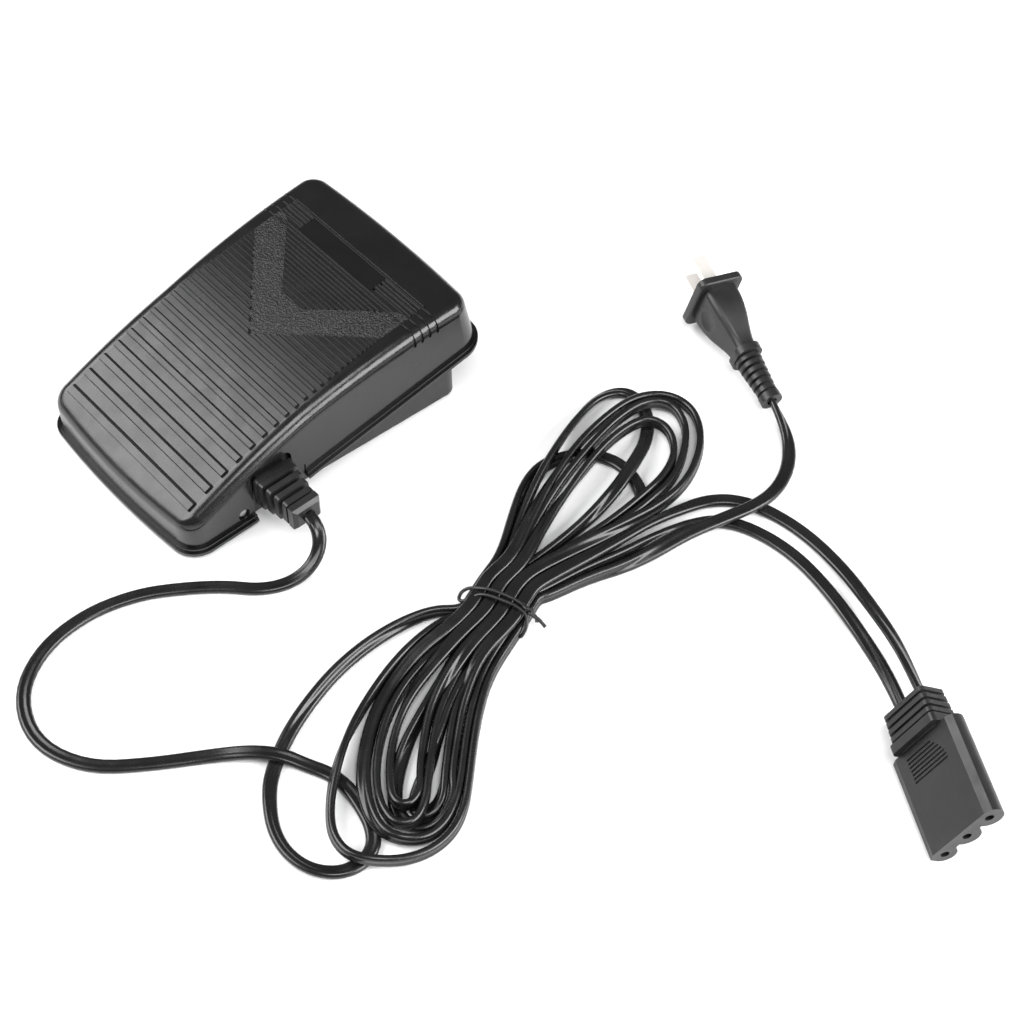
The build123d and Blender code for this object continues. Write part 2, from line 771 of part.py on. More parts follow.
with BuildPart() as triac_screw:
    with BuildSketch(Plane.XZ.offset(-(triac_back_y - tab_thickness))):
        with Locations((triac_x, triac_screw_z)):
            Circle(2.6)
    extrude(amount=1.8)
    with BuildSketch(Plane.XZ.offset(-(triac_back_y - tab_thickness))):
        with Locations((triac_x, triac_screw_z)):
            Circle(1.45)
    extrude(amount=-(tab_thickness + heat_sink_size[1] + 1.0))
triac_screw.part.label = "triac_screw"
export_step(triac_screw.part, "parts/triac_screw.step")

capacitor_x = 13.5
capacitor_y = 33.5
capacitor_size = (16.0, 8.0, 13.0)

with BuildPart() as film_capacitor:
    with BuildSketch(Plane.XY.offset(board_top)):
        with Locations((capacitor_x, capacitor_y)):
            Rectangle(capacitor_size[0], capacitor_size[1])
    extrude(amount=capacitor_size[2])
    fillet(film_capacitor.edges().filter_by(Axis.Z), 0.8)
film_capacitor.part.label = "film_capacitor"
export_step(film_capacitor.part, "parts/film_capacitor.step")

choke_centre = (18.0, 12.0)
choke_outer = 8.5
choke_inner = 3.6
choke_height = 7.0
with BuildPart() as choke:
    with BuildSketch(Plane.XY.offset(board_top)):
        with Locations(choke_centre):
            Circle(choke_outer)
            Circle(choke_inner, mode=Mode.SUBTRACT)
    extrude(amount=choke_height)
    fillet(choke.edges(), 1.6)
choke.part.label = "choke_coil"
export_step(choke.part, "parts/choke_coil.step")

with BuildPart() as resistors:
    for y in (4.0, 9.0, 14.0):
        with Locations(Location((-19.0, y, board_top + 1.5), (0, 90, 0))):
            Cylinder(1.2, 6.4)
            Cylinder(0.35, 10.0)
        for x in (-23.6, -14.4):
            with Locations((x, y, board_top + 0.9)):
                Box(0.7, 0.7, 1.8)
resistors.part.label = "resistors"
export_step(resistors.part, "parts/resistors.step")

terminal_x = 10.0
terminal_y = -3.0
terminal_pitch = 6.0
terminal_height = 10.0
terminal_size = (2 * terminal_pitch + 1.0, 8.0)
terminal_places = [(terminal_x + side * terminal_pitch / 2, terminal_y) for side in (-1, 1)]
wire_radius = 1.0
wire_z = board_top + 3.2
with BuildPart() as terminal_block:
    with BuildSketch(Plane.XY.offset(board_top)):
        with Locations((terminal_x, terminal_y)):
            Rectangle(terminal_size[0], terminal_size[1])
    extrude(amount=terminal_height)
    chamfer(terminal_block.faces().sort_by(Axis.Z)[-1].edges().filter_by(Axis.X), 1.2)
    with BuildSketch(Plane.XY.offset(board_top + terminal_height)):
        with Locations(*terminal_places):
            Circle(2.1)
    extrude(amount=-3.0, mode=Mode.SUBTRACT)
    with BuildSketch(Plane.XZ.offset(-(terminal_y - terminal_size[1] / 2))):
        with Locations((terminal_places[0][0], wire_z), (terminal_places[1][0], wire_z)):
            Circle(wire_radius + cord_gap)
    extrude(amount=-4.0, mode=Mode.SUBTRACT)
terminal_block.part.label = "terminal_block"
export_step(terminal_block.part, "parts/terminal_block.step")

terminal_screws = screws(terminal_places, board_top + terminal_height - 2.2, 0.7, 1.2, 1.9, 1.4)
terminal_screws.label = "terminal_screws"
export_step(terminal_screws, "parts/terminal_screws.step")

# ---------------------------------------------------------------- strain relief
relief_flange = 2.6
relief_inner_x = base_inner_x - relief_flange
relief_fit = 0.05
lead_start_x = relief_end_x - relief_block_length     # where the lead meets the inner cord

with BuildPart() as strain_relief:
    # core through the panel and under the ribs
    with BuildSketch(Plane.YZ.offset(relief_inner_x)):
        with Locations((relief_y, relief_z)):
            Rectangle(relief_core[0], relief_core[1])
    extrude(amount=relief_end_x - 1 - relief_inner_x)
    # flange behind the panel, and the root outside the cover's wall
    with BuildSketch(Plane.YZ.offset(relief_inner_x)):
        with Locations((relief_y, relief_z)):
            RectangleRounded(rib_first[0], rib_first[1], 1.5)
    extrude(amount=relief_flange - relief_fit)
    with BuildSketch(Plane.YZ.offset(wall_x + stop_gap)):
        with Locations((relief_y, relief_z)):
            RectangleRounded(relief_root[0], relief_root[1], 2.0)
    extrude(amount=relief_root_thickness)
    with BuildSketch(Plane.YZ.offset(base_x + relief_fit)):
        with Locations((relief_y, relief_z)):
            Rectangle(relief_core[0] + 3, relief_core[1] + 3)
    extrude(amount=wall_x + 1 - base_x)
    # ribs
    for i in range(rib_count):
        with BuildSketch(Plane.YZ.offset(rib_start_x + i * rib_pitch)):
            with Locations((relief_y, relief_z)):
                RectangleRounded(rib_first[0] - i * rib_shrink[0], rib_first[1] - i * rib_shrink[1], 1.5)
        extrude(amount=rib_thickness)
    # end block
    with BuildSketch(Plane.YZ.offset(relief_end_x - relief_block_length)):
        with Locations((relief_y, relief_z)):
            Rectangle(relief_block[0], relief_block[1])
    extrude(amount=relief_block_length)
    chamfer(strain_relief.faces().sort_by(Axis.X)[-1].edges(), 1.5)
    with Locations(Location((relief_inner_x, relief_y, relief_z), (0, 90, 0))):
        Cylinder(
            cord_radius + cord_gap, relief_end_x,
            align=(Align.CENTER, Align.CENTER, Align.MIN), mode=Mode.SUBTRACT,
        )
strain_relief.part.label = "strain_relief"
export_step(strain_relief.part, "parts/strain_relief.step")

# ---------------------------------------------------------------- cords
def corner_radii(points):
    """Arc radius for each inner point of a cord's route."""
    radii = []
    for before, here, after in zip(points, points[1:], points[2:]):
        run_in = Vector(here) - Vector(before)
        run_out = Vector(after) - Vector(here)
        half_turn = radians(run_in.get_angle(run_out)) / 2
        radii.append(0.45 * min(run_in.length, run_out.length) / tan(half_turn))
    return radii


def cord_tube(name, points, radius):
    """A plain round tube along straight runs and tangent arcs."""
    radii = corner_radii(points)
    with BuildPart() as tube:
        with BuildLine():
            path = FilletPolyline(*points, radius=radii)
        with BuildSketch(Plane(origin=path @ 0, z_dir=path % 0)):
            Circle(radius)
        sweep(path=path)
    tube.part.label = name
    export_step(tube.part, f"parts/{name}.step")
    expected = pi * radius**2 * path.length
    print(
        f"{name}: length {path.length:.0f} mm, smallest radius {min(radii):.1f} mm,",
        "radii", " ".join(f"{r:.0f}" for r in radii),
        f"volume {tube.part.volume:.0f} of {expected:.0f} mm3",
    )
    return tube


floor_z = cord_radius               # a cord's centre where it lies on the floor
clamp_end_x = 24.0

with BuildPart() as inner_lead:
    with BuildSketch(Plane.YZ.offset(clamp_end_x)):
        with Locations((relief_y, relief_z)):
            Circle(cord_radius)
    extrude(amount=lead_start_x - clamp_end_x)
inner_lead.part.label = "inner_lead"
export_step(inner_lead.part, "parts/inner_lead.step")

pedal_route = [
    (lead_start_x, relief_y, relief_z),
    (relief_end_x + 4.5, relief_y, relief_z),
    (86.2, -36.5, 11.5),
    (88.5, -44.0, 4.6),
    (87.5, -54.5, floor_z),
    (82.0, -66.0, floor_z),
    (70.5, -76.0, floor_z),
    (59.0, -91.0, floor_z),
    (50.0, -106.0, floor_z),
    (44.5, -127.0, floor_z),
    (47.0, -150.0, floor_z),
    (61.0, -169.5, floor_z),
    (84.0, -177.5, floor_z),
    (106.0, -168.5, floor_z),
    (121.0, -149.0, floor_z),
    (134.5, -125.5, floor_z),
    (153.0, -106.5, floor_z),
]
connector_lead_route = [
    (160.0, 76.0, floor_z),
    (162.0, 95.0, floor_z),
    (171.0, 111.0, floor_z),
    (186.0, 119.0, floor_z),
    (204.0, 122.5, floor_z),
    (224.0, 122.0, floor_z),
    (246.0, 117.0, 3.6),
    (268.0, 107.0, 10.0),
]
return_lead_route = [
    (166.5, 70.0, floor_z),
    (168.5, 84.0, floor_z),
    (177.0, 96.5, floor_z),
    (191.0, 106.0, floor_z),
    (207.0, 110.5, floor_z),
    (224.0, 111.5, floor_z),
    (242.0, 108.5, floor_z),
    (262.0, 100.5, 4.4),
]
plug_lead_route = [
    (171.0, 58.0, floor_z),
    (174.5, 74.0, 4.6),
    (179.0, 92.0, 8.2),
    (186.5, 117.0, 8.2),
    (188.0, 133.0, 4.6),
    (181.0, 147.0, floor_z),
]

# The connector leans on its long edge, on its first lobe and its flange.
connector_roll = 57.0
lobe_radius = 5.7
first_lobe_radius = 4.9
flange_width = 25.4
flange_height = 16.6
edge_height = pin_pitch * sin(radians(connector_roll)) + first_lobe_radius
flange_corner = flange_width * sin(radians(connector_roll)) + flange_height * cos(radians(connector_roll))
connector_z = max(edge_height, flange_corner / 2) + 0.02
connector_plane = lying_plane((355.5, 56.2, connector_z), -28.6, 0.0, connector_roll)
connector_boot = 17.0               # flange and ribbed boot behind the body
connector_tail = connector_length + connector_boot
strand_offset = 5.5


def connector_point(across, along):
    """A point of the connector: across its holes, and along its axis."""
    return tuple(connector_plane.from_local_coords(Vector(across, 0, along)))


# The plug stands on its flange and its boot rests on the floor.
plug_plane = lying_plane((94.4, 180.3, 16.9), 162.9, 10.4, 9.0)
plug_tail = 60.6


def plug_point(along):
    """A point on the plug's axis, behind its front face."""
    return tuple(plug_plane.from_local_coords(Vector(0, 0, -along)))


connector_lead_route += [connector_point(strand_offset, -connector_tail - 15.0)]
connector_lead_route += [connector_point(strand_offset, -connector_tail + 3.0)]
return_lead_route += [connector_point(-strand_offset, -connector_tail - 15.0)]
return_lead_route += [connector_point(-strand_offset, -connector_tail + 3.0)]
plug_lead_route += [plug_point(plug_tail + 14.0), plug_point(plug_tail - 3.0)]

cord_tube("pedal_lead", pedal_route, cord_radius)
cord_tube("connector_lead", connector_lead_route, cord_radius)
cord_tube("return_lead", return_lead_route, cord_radius)
cord_tube("plug_lead", plug_lead_route, cord_radius)

# The hank: loops of both cords fan out on each side of the tie.
hank_height = 9.2
hank_outline = [
    (168, 9), (169.5, 30), (174, 50), (168, 66), (159, 82), (161, 100), (150, 122), (132, 139),
    (113, 133), (99, 125), (93, 108), (98, 86), (115, 50), (130, 24), (140, -4), (131, -30),
    (128, -60), (138, -93), (156, -120), (184, -134), (208, -127), (225, -98), (220, -70),
    (196, -42), (180.5, -20), (172.5, -4),
]
tie_centre = (154.0, 2.5)
tie_heading = 25.0
tie_width = 3.0
tie_thickness = 0.9
waist_half = 16.2

with BuildPart() as cord_hank:
    with BuildSketch():
        with BuildLine():
            Spline(*hank_outline, periodic=True)
        make_face()
    extrude(amount=hank_height)
    tie_plane = Plane(
        origin=(tie_centre[0], tie_centre[1], 0),
        x_dir=(cos(radians(tie_heading)), sin(radians(tie_heading)), 0),
        z_dir=(0, 0, 1),
    )
    # the tie's loop presses into the bundle
    with BuildSketch(tie_plane):
        Rectangle(4 * waist_half, tie_width + 1.0)
        Rectangle(2 * waist_half - 2 * tie_thickness - 0.2, tie_width + 1.0, mode=Mode.SUBTRACT)
    extrude(amount=hank_height, mode=Mode.SUBTRACT)
    with BuildSketch(tie_plane):
        Rectangle(4 * waist_half, tie_width + 1.0)
    extrude(amount=tie_thickness, mode=Mode.SUBTRACT)
cord_hank.part.label = "cord_hank"
export_step(cord_hank.part, "parts/cord_hank.step")

with BuildPart() as twist_tie:
    with BuildSketch(Plane(origin=tie_plane.origin, x_dir=tie_plane.x_dir, z_dir=-tie_plane.y_dir)):
        with Locations((0, (hank_height + tie_thickness) / 2)):
            RectangleRounded(2 * waist_half, hank_height + tie_thickness, 0.8)
            Rectangle(
                2 * waist_half - 2 * tie_thickness, hank_height - tie_thickness, mode=Mode.SUBTRACT
            )
    extrude(amount=tie_width / 2, both=True)
twist_tie.part.label = "twist_tie"
export_step(twist_tie.part, "parts/twist_tie.step")

# ---------------------------------------------------------------- clamp and inner wires
clamp_strap_thickness = 1.6
with BuildPart() as cord_clamp:
    with BuildSketch(Plane.YZ.offset(clamp_x - clamp_width / 2)):
        with Locations((relief_y, saddle_z + clamp_strap_thickness / 2)):
            Rectangle(clamp_pitch + clamp_post, clamp_strap_thickness)
        with Locations((relief_y, relief_z)):
            Circle(cord_radius + clamp_strap_thickness)
            Circle(cord_radius + cord_gap, mode=Mode.SUBTRACT)
        with Locations((relief_y, saddle_z - 5)):
            Rectangle(20, 10, mode=Mode.SUBTRACT)
        with Locations((relief_y, relief_z - cord_radius / 2)):
            Rectangle(2 * (cord_radius + cord_gap), cord_radius, mode=Mode.SUBTRACT)
    extrude(amount=clamp_width)
    clamp_holes = [(clamp_x, relief_y - clamp_pitch / 2), (clamp_x, relief_y + clamp_pitch / 2)]
    with BuildSketch(Plane.XY.offset(saddle_z - 1)):
        with Locations(*clamp_holes):
            Circle(screw_radius + 0.2)
    extrude(amount=5, mode=Mode.SUBTRACT)
cord_clamp.part.label = "cord_clamp"
export_step(cord_clamp.part, "parts/cord_clamp.step")

clamp_screws = screws(
    clamp_holes, saddle_z + clamp_strap_thickness, clamp_strap_thickness + 5.0,
    screw_radius - seat_gap, 2.0, 1.4,
)
clamp_screws.label = "clamp_screws"
export_step(clamp_screws, "parts/clamp_screws.step")

with BuildPart() as core_wires:
    for side, place in zip((-1, 1), (terminal_places[1], terminal_places[0])):
        start_y = relief_y - side * 1.15
        entry_y = terminal_y - terminal_size[1] / 2
        route = [
            (clamp_end_x, start_y, relief_z),
            (clamp_end_x - 6.0, start_y, relief_z),
            (place[0], start_y + 6.0 * side + 6.0, (relief_z + wire_z) / 2),
            (place[0], entry_y - 5.0, wire_z),
            (place[0], entry_y + 2.5, wire_z),
        ]
        with BuildLine():
            path = FilletPolyline(*route, radius=2.4)
        with BuildSketch(Plane(origin=path @ 0, z_dir=path % 0)):
            Circle(wire_radius)
        sweep(path=path)
core_wires.part.label = "core_wires"
export_step(core_wires.part, "parts/core_wires.step")

# ---------------------------------------------------------------- machine connector
top_height = 4.6
shoulder_width = 25.0
shoulder_length = 8.0
flange_thickness = 3.8
boot_rib_count = 4
boot_rib_pitch = 3.3
boot_rib_thickness = 1.9
connector_edge = 3.0
grip_start_x = -9.5
grip_start_z = 28.8
grip_pitch = 1.7
grip_width = 0.9
grip_depth = 0.6
grip_reach = (9.3, 9.2, 8.9, 8.2, 7.2, 5.8, 4.3)
grip_plane = Plane(
    origin=connector_plane.from_local_coords(Vector(0, top_height, 0)),
    x_dir=connector_plane.x_dir, z_dir=connector_plane.y_dir,
)

with BuildPart() as connector_body:
    with BuildSketch(connector_plane):
        with Locations((0, (top_height - 1.0) / 2)):
            Rectangle(connector_width, top_height + 1.0)
        with Locations((0, 0), (pin_pitch, 0)):
            Circle(lobe_radius)
        with Locations((-pin_pitch, 0)):
            Circle(first_lobe_radius)
        with Locations((0, top_height + lobe_radius)):
            Rectangle(2 * connector_width, 2 * lobe_radius, mode=Mode.SUBTRACT)
    extrude(amount=-connector_length)
    # the grip face's long edges are bevelled
    for side in (-1, 1):
        with BuildSketch(connector_plane):
            Polygon(
                (side * connector_width, top_height - connector_edge / 2),
                (side * connector_width / 2, top_height - connector_edge / 2),
                (side * (connector_width / 2 - connector_edge), top_height),
                (side * connector_width, top_height + connector_edge), align=None,
            )
        extrude(amount=-connector_length, mode=Mode.SUBTRACT)
    with BuildSketch(grip_plane):
        for i, reach in enumerate(grip_reach):
            with Locations(((grip_start_x + reach) / 2, grip_start_z + i * grip_pitch)):
                Rectangle(reach - grip_start_x, grip_width)
    extrude(amount=-grip_depth, mode=Mode.SUBTRACT)
    # shoulders narrow towards the flange
    shoulder_plane = Plane(
        origin=connector_plane.from_local_coords(Vector(0, -15, 0)),
        x_dir=connector_plane.x_dir, z_dir=-connector_plane.y_dir,
    )
    for side in (-1, 1):
        with BuildSketch(shoulder_plane):
            Polygon(
                (side * shoulder_width / 2, connector_length + 1),
                (side * shoulder_width / 2, connector_length),
                (side * (connector_width / 2 + 1), connector_length - shoulder_length),
                (side * connector_width, connector_length - shoulder_length),
                (side * connector_width, connector_length + 1), align=None,
            )
        extrude(amount=-30, mode=Mode.SUBTRACT)
    with BuildSketch(connector_plane.offset(-connector_length - flange_thickness)):
        RectangleRounded(flange_width, flange_height, 2.0)
    extrude(amount=flange_thickness)
    with BuildSketch(connector_plane.offset(-connector_tail + 0.8)):
        RectangleRounded(flange_width - 5, flange_height - 5, 2.0)
    extrude(amount=connector_boot)
    for i in range(boot_rib_count):
        with BuildSketch(connector_plane.offset(-connector_tail + i * boot_rib_pitch)):
            RectangleRounded(flange_width - 2.4 + 0.3 * i, flange_height - 3.0 + 0.3 * i, 2.0)
        extrude(amount=boot_rib_thickness)
    # sockets, and the bores for the two strands
    with BuildSketch(connector_plane):
        with GridLocations(pin_pitch, 1, 3, 1):
            Circle(socket_radius)
    extrude(amount=-socket_depth, mode=Mode.SUBTRACT)
    with BuildSketch(connector_plane.offset(-socket_depth)):
        with GridLocations(pin_pitch, 1, 3, 1):
            Circle(socket_radius + contact_wall + seat_gap)
    extrude(amount=-12.0, mode=Mode.SUBTRACT)
    with BuildSketch(connector_plane.offset(-connector_tail)):
        with GridLocations(2 * strand_offset, 1, 2, 1):
            Circle(cord_radius + cord_gap)
    extrude(amount=3.2, mode=Mode.SUBTRACT)
connector_body.part.label = "connector_body"
export_step(connector_body.part, "parts/connector_body.step")

with BuildPart() as connector_contacts:
    with BuildSketch(connector_plane.offset(-socket_depth - 0.05)):
        with GridLocations(pin_pitch, 1, 3, 1):
            Circle(socket_radius + contact_wall)
            Circle(contact_radius, mode=Mode.SUBTRACT)
    extrude(amount=-11.0)
connector_contacts.part.label = "connector_contacts"
export_step(connector_contacts.part, "parts/connector_contacts.step")

# ---------------------------------------------------------------- mains plug
plug_flange = 3.6
plug_neck = 33.0
collar_length = 3.6
plug_rib_count = 6
plug_rib_pitch = 3.35
plug_rib_thickness = 2.0
plug_rib_gap = 1.2
plug_rib_radius = 4.7
plug_rib_growth = 0.28
plug_core = 3.6
plug_bead = 5.0
plug_bead_length = 3.6
plug_edge = 3.2
# distance behind the face, width and height of the body's sections
plug_sections = (
    (3.6, 16.5, 22.0), (12.0, 16.0, 21.5), (20.0, 13.4, 18.4), (27.0, 10.6, 14.6), (33.2, 9.6, 12.6),
)
finger_x = 6.6
finger_along = 14.0
finger_radius = 14.0

with BuildPart() as plug_body:
    with BuildSketch(plug_plane.offset(-plug_flange)):
        RectangleRounded(plug_width, plug_height, 3.5)
    extrude(amount=plug_flange)
    fillet(plug_body.faces().group_by(Axis(plug_plane.origin, plug_plane.z_dir))[0].edges(), 0.9)
    for along, width, height in plug_sections:
        with BuildSketch(plug_plane.offset(-along)):
            RectangleRounded(width, height, plug_edge)
    loft()
    # finger hollows on both sides
    for side in (-1, 1):
        centre = Vector(side * (finger_x + finger_radius), 0, -finger_along)
        with Locations(plug_plane.from_local_coords(centre)):
            Sphere(finger_radius, mode=Mode.SUBTRACT)
    with BuildSketch(plug_plane.offset(-plug_neck - collar_length)):
        RectangleRounded(13.0, 16.0, 5.5)
    extrude(amount=collar_length)
    with BuildSketch(plug_plane.offset(-plug_tail + 0.5)):
        Circle(plug_core)
    extrude(amount=plug_tail - plug_neck)
    with BuildSketch(plug_plane.offset(-plug_tail)):
        Circle(plug_bead)
    extrude(amount=plug_bead_length)
    for i in range(plug_rib_count):
        rib_along = plug_tail - plug_bead_length - plug_rib_gap - i * plug_rib_pitch
        with BuildSketch(plug_plane.offset(-rib_along)):
            Circle(plug_rib_radius + plug_rib_growth * i)
        extrude(amount=plug_rib_thickness)
    with BuildSketch(plug_plane.offset(-plug_tail)):
        Circle(cord_radius + cord_gap)
    extrude(amount=3.2, mode=Mode.SUBTRACT)
    with BuildSketch(plug_plane):
        with GridLocations(1, blade_spacing, 1, 2):
            Rectangle(blade_width + 2 * seat_gap, blade_thickness + 2 * seat_gap)
    extrude(amount=-12.2, mode=Mode.SUBTRACT)
plug_body.part.label = "plug_body"
export_step(plug_body.part, "parts/plug_body.step")

with BuildPart() as plug_blades:
    with BuildSketch(plug_plane.offset(-12.0)):
        with GridLocations(1, blade_spacing, 1, 2):
            Rectangle(blade_width, blade_thickness)
    extrude(amount=12.0 + blade_length)
    blade_tips = plug_blades.faces().group_by(Axis(plug_plane.origin, plug_plane.z_dir))[-1]
    chamfer(blade_tips.edges(), 0.4)
plug_blades.part.label = "plug_blades"
export_step(plug_blades.part, "parts/plug_blades.step")
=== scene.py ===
"""Looks of the sewing machine pedal: its cords, surface detail, materials, lights and camera."""

import json
import math

import bmesh
import bpy
from mathutils import Matrix, Vector


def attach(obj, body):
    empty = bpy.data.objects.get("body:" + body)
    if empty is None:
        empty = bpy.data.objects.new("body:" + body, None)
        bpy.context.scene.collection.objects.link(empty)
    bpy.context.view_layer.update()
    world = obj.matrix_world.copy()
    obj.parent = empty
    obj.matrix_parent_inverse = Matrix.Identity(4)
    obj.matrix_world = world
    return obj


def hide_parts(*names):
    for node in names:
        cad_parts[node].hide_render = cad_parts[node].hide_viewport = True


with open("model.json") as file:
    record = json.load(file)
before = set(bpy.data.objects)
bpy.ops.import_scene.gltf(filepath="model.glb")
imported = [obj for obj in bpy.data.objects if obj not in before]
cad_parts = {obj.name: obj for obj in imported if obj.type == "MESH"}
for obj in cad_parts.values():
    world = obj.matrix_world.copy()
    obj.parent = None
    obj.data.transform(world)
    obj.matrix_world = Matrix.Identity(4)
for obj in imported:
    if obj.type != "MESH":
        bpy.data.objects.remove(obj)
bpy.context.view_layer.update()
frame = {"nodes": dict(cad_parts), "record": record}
MM = 0.001
nodes = frame["nodes"]

# ------------------------------------------------------------------ camera
VIEW_AZIMUTH = math.radians(49.045)     # from -Y towards +X
VIEW_ELEVATION = math.radians(51.341)
VIEW_ROLL = math.radians(-0.425)
VIEW_DISTANCE = 0.9197
VIEW_TARGET = Vector((0.1188, 0.0396, 0.0))
SENSOR = 36.0
LENS = 76.18

view_back = Vector((
    math.sin(VIEW_AZIMUTH) * math.cos(VIEW_ELEVATION),
    -math.cos(VIEW_AZIMUTH) * math.cos(VIEW_ELEVATION),
    math.sin(VIEW_ELEVATION),
))
camera_data = bpy.data.cameras.new("camera")
camera_data.lens = LENS
camera_data.sensor_width = SENSOR
camera = bpy.data.objects.new("camera", camera_data)
bpy.context.collection.objects.link(camera)
turn = view_back.to_track_quat("Z", "Y").to_matrix().to_4x4() @ Matrix.Rotation(VIEW_ROLL, 4, "Z")
camera.matrix_world = Matrix.Translation(VIEW_TARGET + view_back * VIEW_DISTANCE) @ turn
bpy.context.scene.camera = camera

# ------------------------------------------------------------------ the two flat cords
CORD_WIDTH = 6.0
CORD_THICK = 3.1
FLOOR = CORD_THICK / 2          # centre of a strand lying flat
EDGE = CORD_WIDTH / 2           # centre of a strand standing on its edge
OVER = CORD_THICK + FLOOR       # flat, over one that lies flat
RIDGE = CORD_THICK + EDGE       # on edge, over one that lies flat

# The tie: nine strands stand on edge side by side, and four lie flat on top of them.
TIE_CENTRE = Vector((154.0, 2.5))
TIE_HEADING = math.radians(25.0)
STRAND_HEADING = math.radians(112.0)
EDGE_PITCH = 3.15
TOP_Z = CORD_WIDTH + FLOOR
TIE_ROW = (0, 1, 3, 5, 7, 8, 9, 11, 12)
TIE_TOP = {2: -9.3, 4: -3.1, 6: 3.1, 10: 9.3}


def at_tie(strand, side):
    """Two points of a strand beside the tie: side is -1 where it comes from or goes to the lower fan."""
    if strand in TIE_TOP:
        across, z, tilt = TIE_TOP[strand], TOP_Z, 0
    else:
        across, z, tilt = (TIE_ROW.index(strand) - 4) * EDGE_PITCH, EDGE, 90
    place = TIE_CENTRE + across * Vector((math.cos(TIE_HEADING), math.sin(TIE_HEADING)))
    along = Vector((math.cos(STRAND_HEADING), math.sin(STRAND_HEADING)))
    return [(*(place + along * side * reach), z, tilt) for reach in (9.0, 2.5)]


def through(strand, upwards):
    """A strand through the tie, upwards to the upper fan or downwards."""
    first = -1 if upwards else 1
    return at_tie(strand, first) + at_tie(strand, -first)[::-1]


# Each fold's points run from its left strand round to its right one: x, y, z and how far
# the cord is turned about its own line, from 0 where it lies flat to 90 on edge.
pedal_end = [
    (71.0, -34, 18.8, 0), (79.9, -34, 18.8, 0), (86.2, -36.5, 11.5, 0), (88.5, -44, 4.6, 0),
    (87.5, -54.5, FLOOR, 0), (82, -66, FLOOR, 0), (70.5, -76, FLOOR, 0), (59, -91, FLOOR, 0),
    (50, -106, FLOOR, 0), (44.5, -127, FLOOR, 0), (47, -150, FLOOR, 0), (60, -169.5, FLOOR, 0),
    (83, -177.5, FLOOR, 0), (106, -168.5, FLOOR, 0), (121, -149, FLOOR, 0), (134, -128, FLOOR, 5),
    (144, -117, OVER, 8), (153, -109, OVER, 8), (162, -103.5, FLOOR, 0), (171, -99, FLOOR, 0),
]
fold_1 = [
    (181, -98, FLOOR, 0), (191, -99.5, FLOOR, 0), (200, -102, FLOOR, 0), (207, -107, FLOOR, 0),
    (209.5, -115, FLOOR, 0), (207, -124, FLOOR + 0.3, 10), (199, -131, FLOOR + 0.6, 25),
    (188, -133.5, FLOOR + 0.8, 35), (177, -131.5, FLOOR + 0.9, 40), (167, -126, FLOOR + 0.8, 35),
    (158, -119, FLOOR + 0.4, 15), (150.5, -109, FLOOR, 0), (145, -99, FLOOR + 0.6, 20),
    (139.5, -85, FLOOR + 0.9, 40), (135, -69, FLOOR + 1.0, 45), (133, -52, FLOOR + 0.9, 40),
    (134, -35, 2.6, 60), (138, -20, EDGE, 85),
]
fold_2 = [
    (145, -20, EDGE, 90), (145, -34, EDGE, 90), (147.5, -48, EDGE, 90), (152.5, -63, EDGE, 90),
    (159, -77, EDGE + 1.0, 90), (166, -89, OVER + 1.0, 70), (175, -101, OVER + 0.6, 60),
    (184.5, -110.5, 4.2, 75), (194.5, -117, OVER + 0.6, 75), (205, -118, RIDGE, 85),
    (214, -112, RIDGE, 90), (220.5, -102, EDGE + 0.8, 90), (223.5, -91, EDGE, 90),
    (222.5, -80.5, EDGE, 90), (217.5, -71, EDGE, 90), (209.5, -62, EDGE, 90),
    (198.5, -50.5, EDGE, 90), (187.5, -38, EDGE, 90), (177, -23, EDGE, 90),
]
fold_3 = [
    (151, -22, TOP_Z, 0), (150, -37, 5.0, 5), (153.3, -53, 2.2, 8), (160, -68, FLOOR, 5),
    (170.5, -81.5, FLOOR + 1.5, 5), (182, -92.5, OVER, 15), (194, -99.5, OVER + 0.8, 35),
    (205, -102, RIDGE - 0.4, 70), (213.5, -98.5, RIDGE - 0.6, 85), (218.5, -90, EDGE + 0.6, 90),
    (217.8, -80.5, EDGE, 90), (213, -71.5, EDGE, 90), (206.5, -63.5, EDGE, 90),
    (195.5, -52, EDGE, 90), (184.5, -39.5, EDGE, 90), (173.5, -23, EDGE, 90),
]
fold_4 = [
    (153, -22, EDGE, 90), (155.2, -38, EDGE, 90), (159, -53, EDGE, 90), (165.5, -66.5, EDGE, 90),
    (175, -79, EDGE, 90), (186, -89, EDGE + 0.6, 90), (197.5, -95.5, EDGE + 2.6, 90),
    (207, -96.5, RIDGE, 90), (211.5, -90, RIDGE, 90), (207, -81.5, RIDGE, 90),
    (198, -72.5, RIDGE - 0.4, 90), (188.5, -62.5, EDGE + 0.5, 90), (177, -49.5, EDGE, 90),
    (164.5, -24, EDGE, 90),
]
fold_5 = [
    (156.5, -22, TOP_Z, 0), (160, -38, 6.5, 25), (164, -53, 4.4, 55), (170.5, -65.5, EDGE, 80),
    (180, -77, EDGE, 90), (190, -85.5, EDGE + 1.6, 90), (199, -91, RIDGE, 90),
    (204.5, -87, RIDGE, 90), (202, -79.5, RIDGE, 90), (194.5, -74, RIDGE - 1.5, 90),
    (185, -64.5, EDGE + 0.4, 90), (173.5, -51, EDGE + 0.6, 80), (164, -26, TOP_Z, 10),
]
